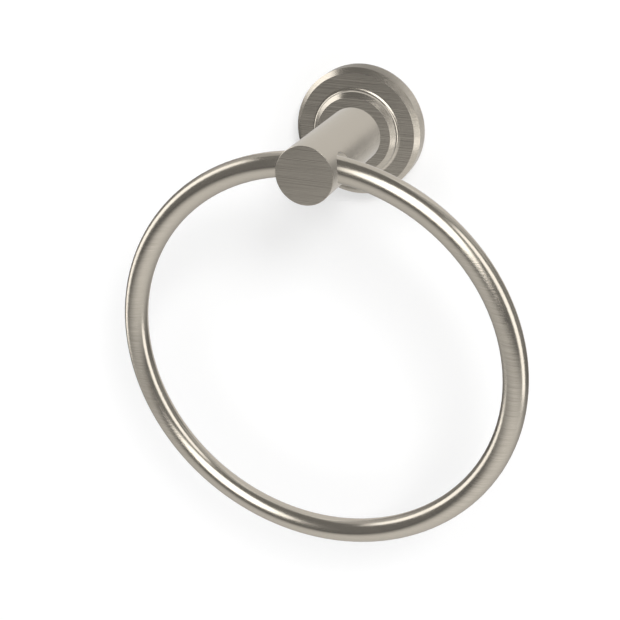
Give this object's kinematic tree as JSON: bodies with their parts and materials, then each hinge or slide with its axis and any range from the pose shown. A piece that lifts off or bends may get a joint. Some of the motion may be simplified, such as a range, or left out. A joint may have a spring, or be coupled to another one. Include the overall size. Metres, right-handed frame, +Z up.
{
  "type": "towel ring",
  "caption": "Wall-mounted towel ring in satin nickel: a round stepped flange, a plain round post and a closed round-bar ring that swings in the post's cross hole.",
  "frame": {"origin": "on the wall plane, at the centre of the flange's back and of the plate's two wall screws", "axes": "+Z up, +Y into the wall, so the front faces -Y; +X to the right seen from the front"},
  "size_m": [0.166, 0.063, 0.1856],
  "materials": {
    "satin_nickel": "solid brass under brushed satin nickel plate",
    "zinc_plated_steel": "zinc plated, dull",
    "stainless_steel": "plain stainless"
  },
  "bodies": {
    "bracket": {"flange": "satin_nickel", "post": "satin_nickel", "wall_plate": "zinc_plated_steel", "post_screw": "zinc_plated_steel", "lock_washer": "zinc_plated_steel", "set_screw": "stainless_steel"},
    "hoop": {"ring": "satin_nickel"}
  },
  "joints": [
    {"name": "ring_swing", "type": "hinge", "parent": "bracket", "child": "hoop", "pos_m": [0, -0.0525, 0.0005], "axis": [-1, 0, 0], "range_deg": [-18, 197]}
  ]
}
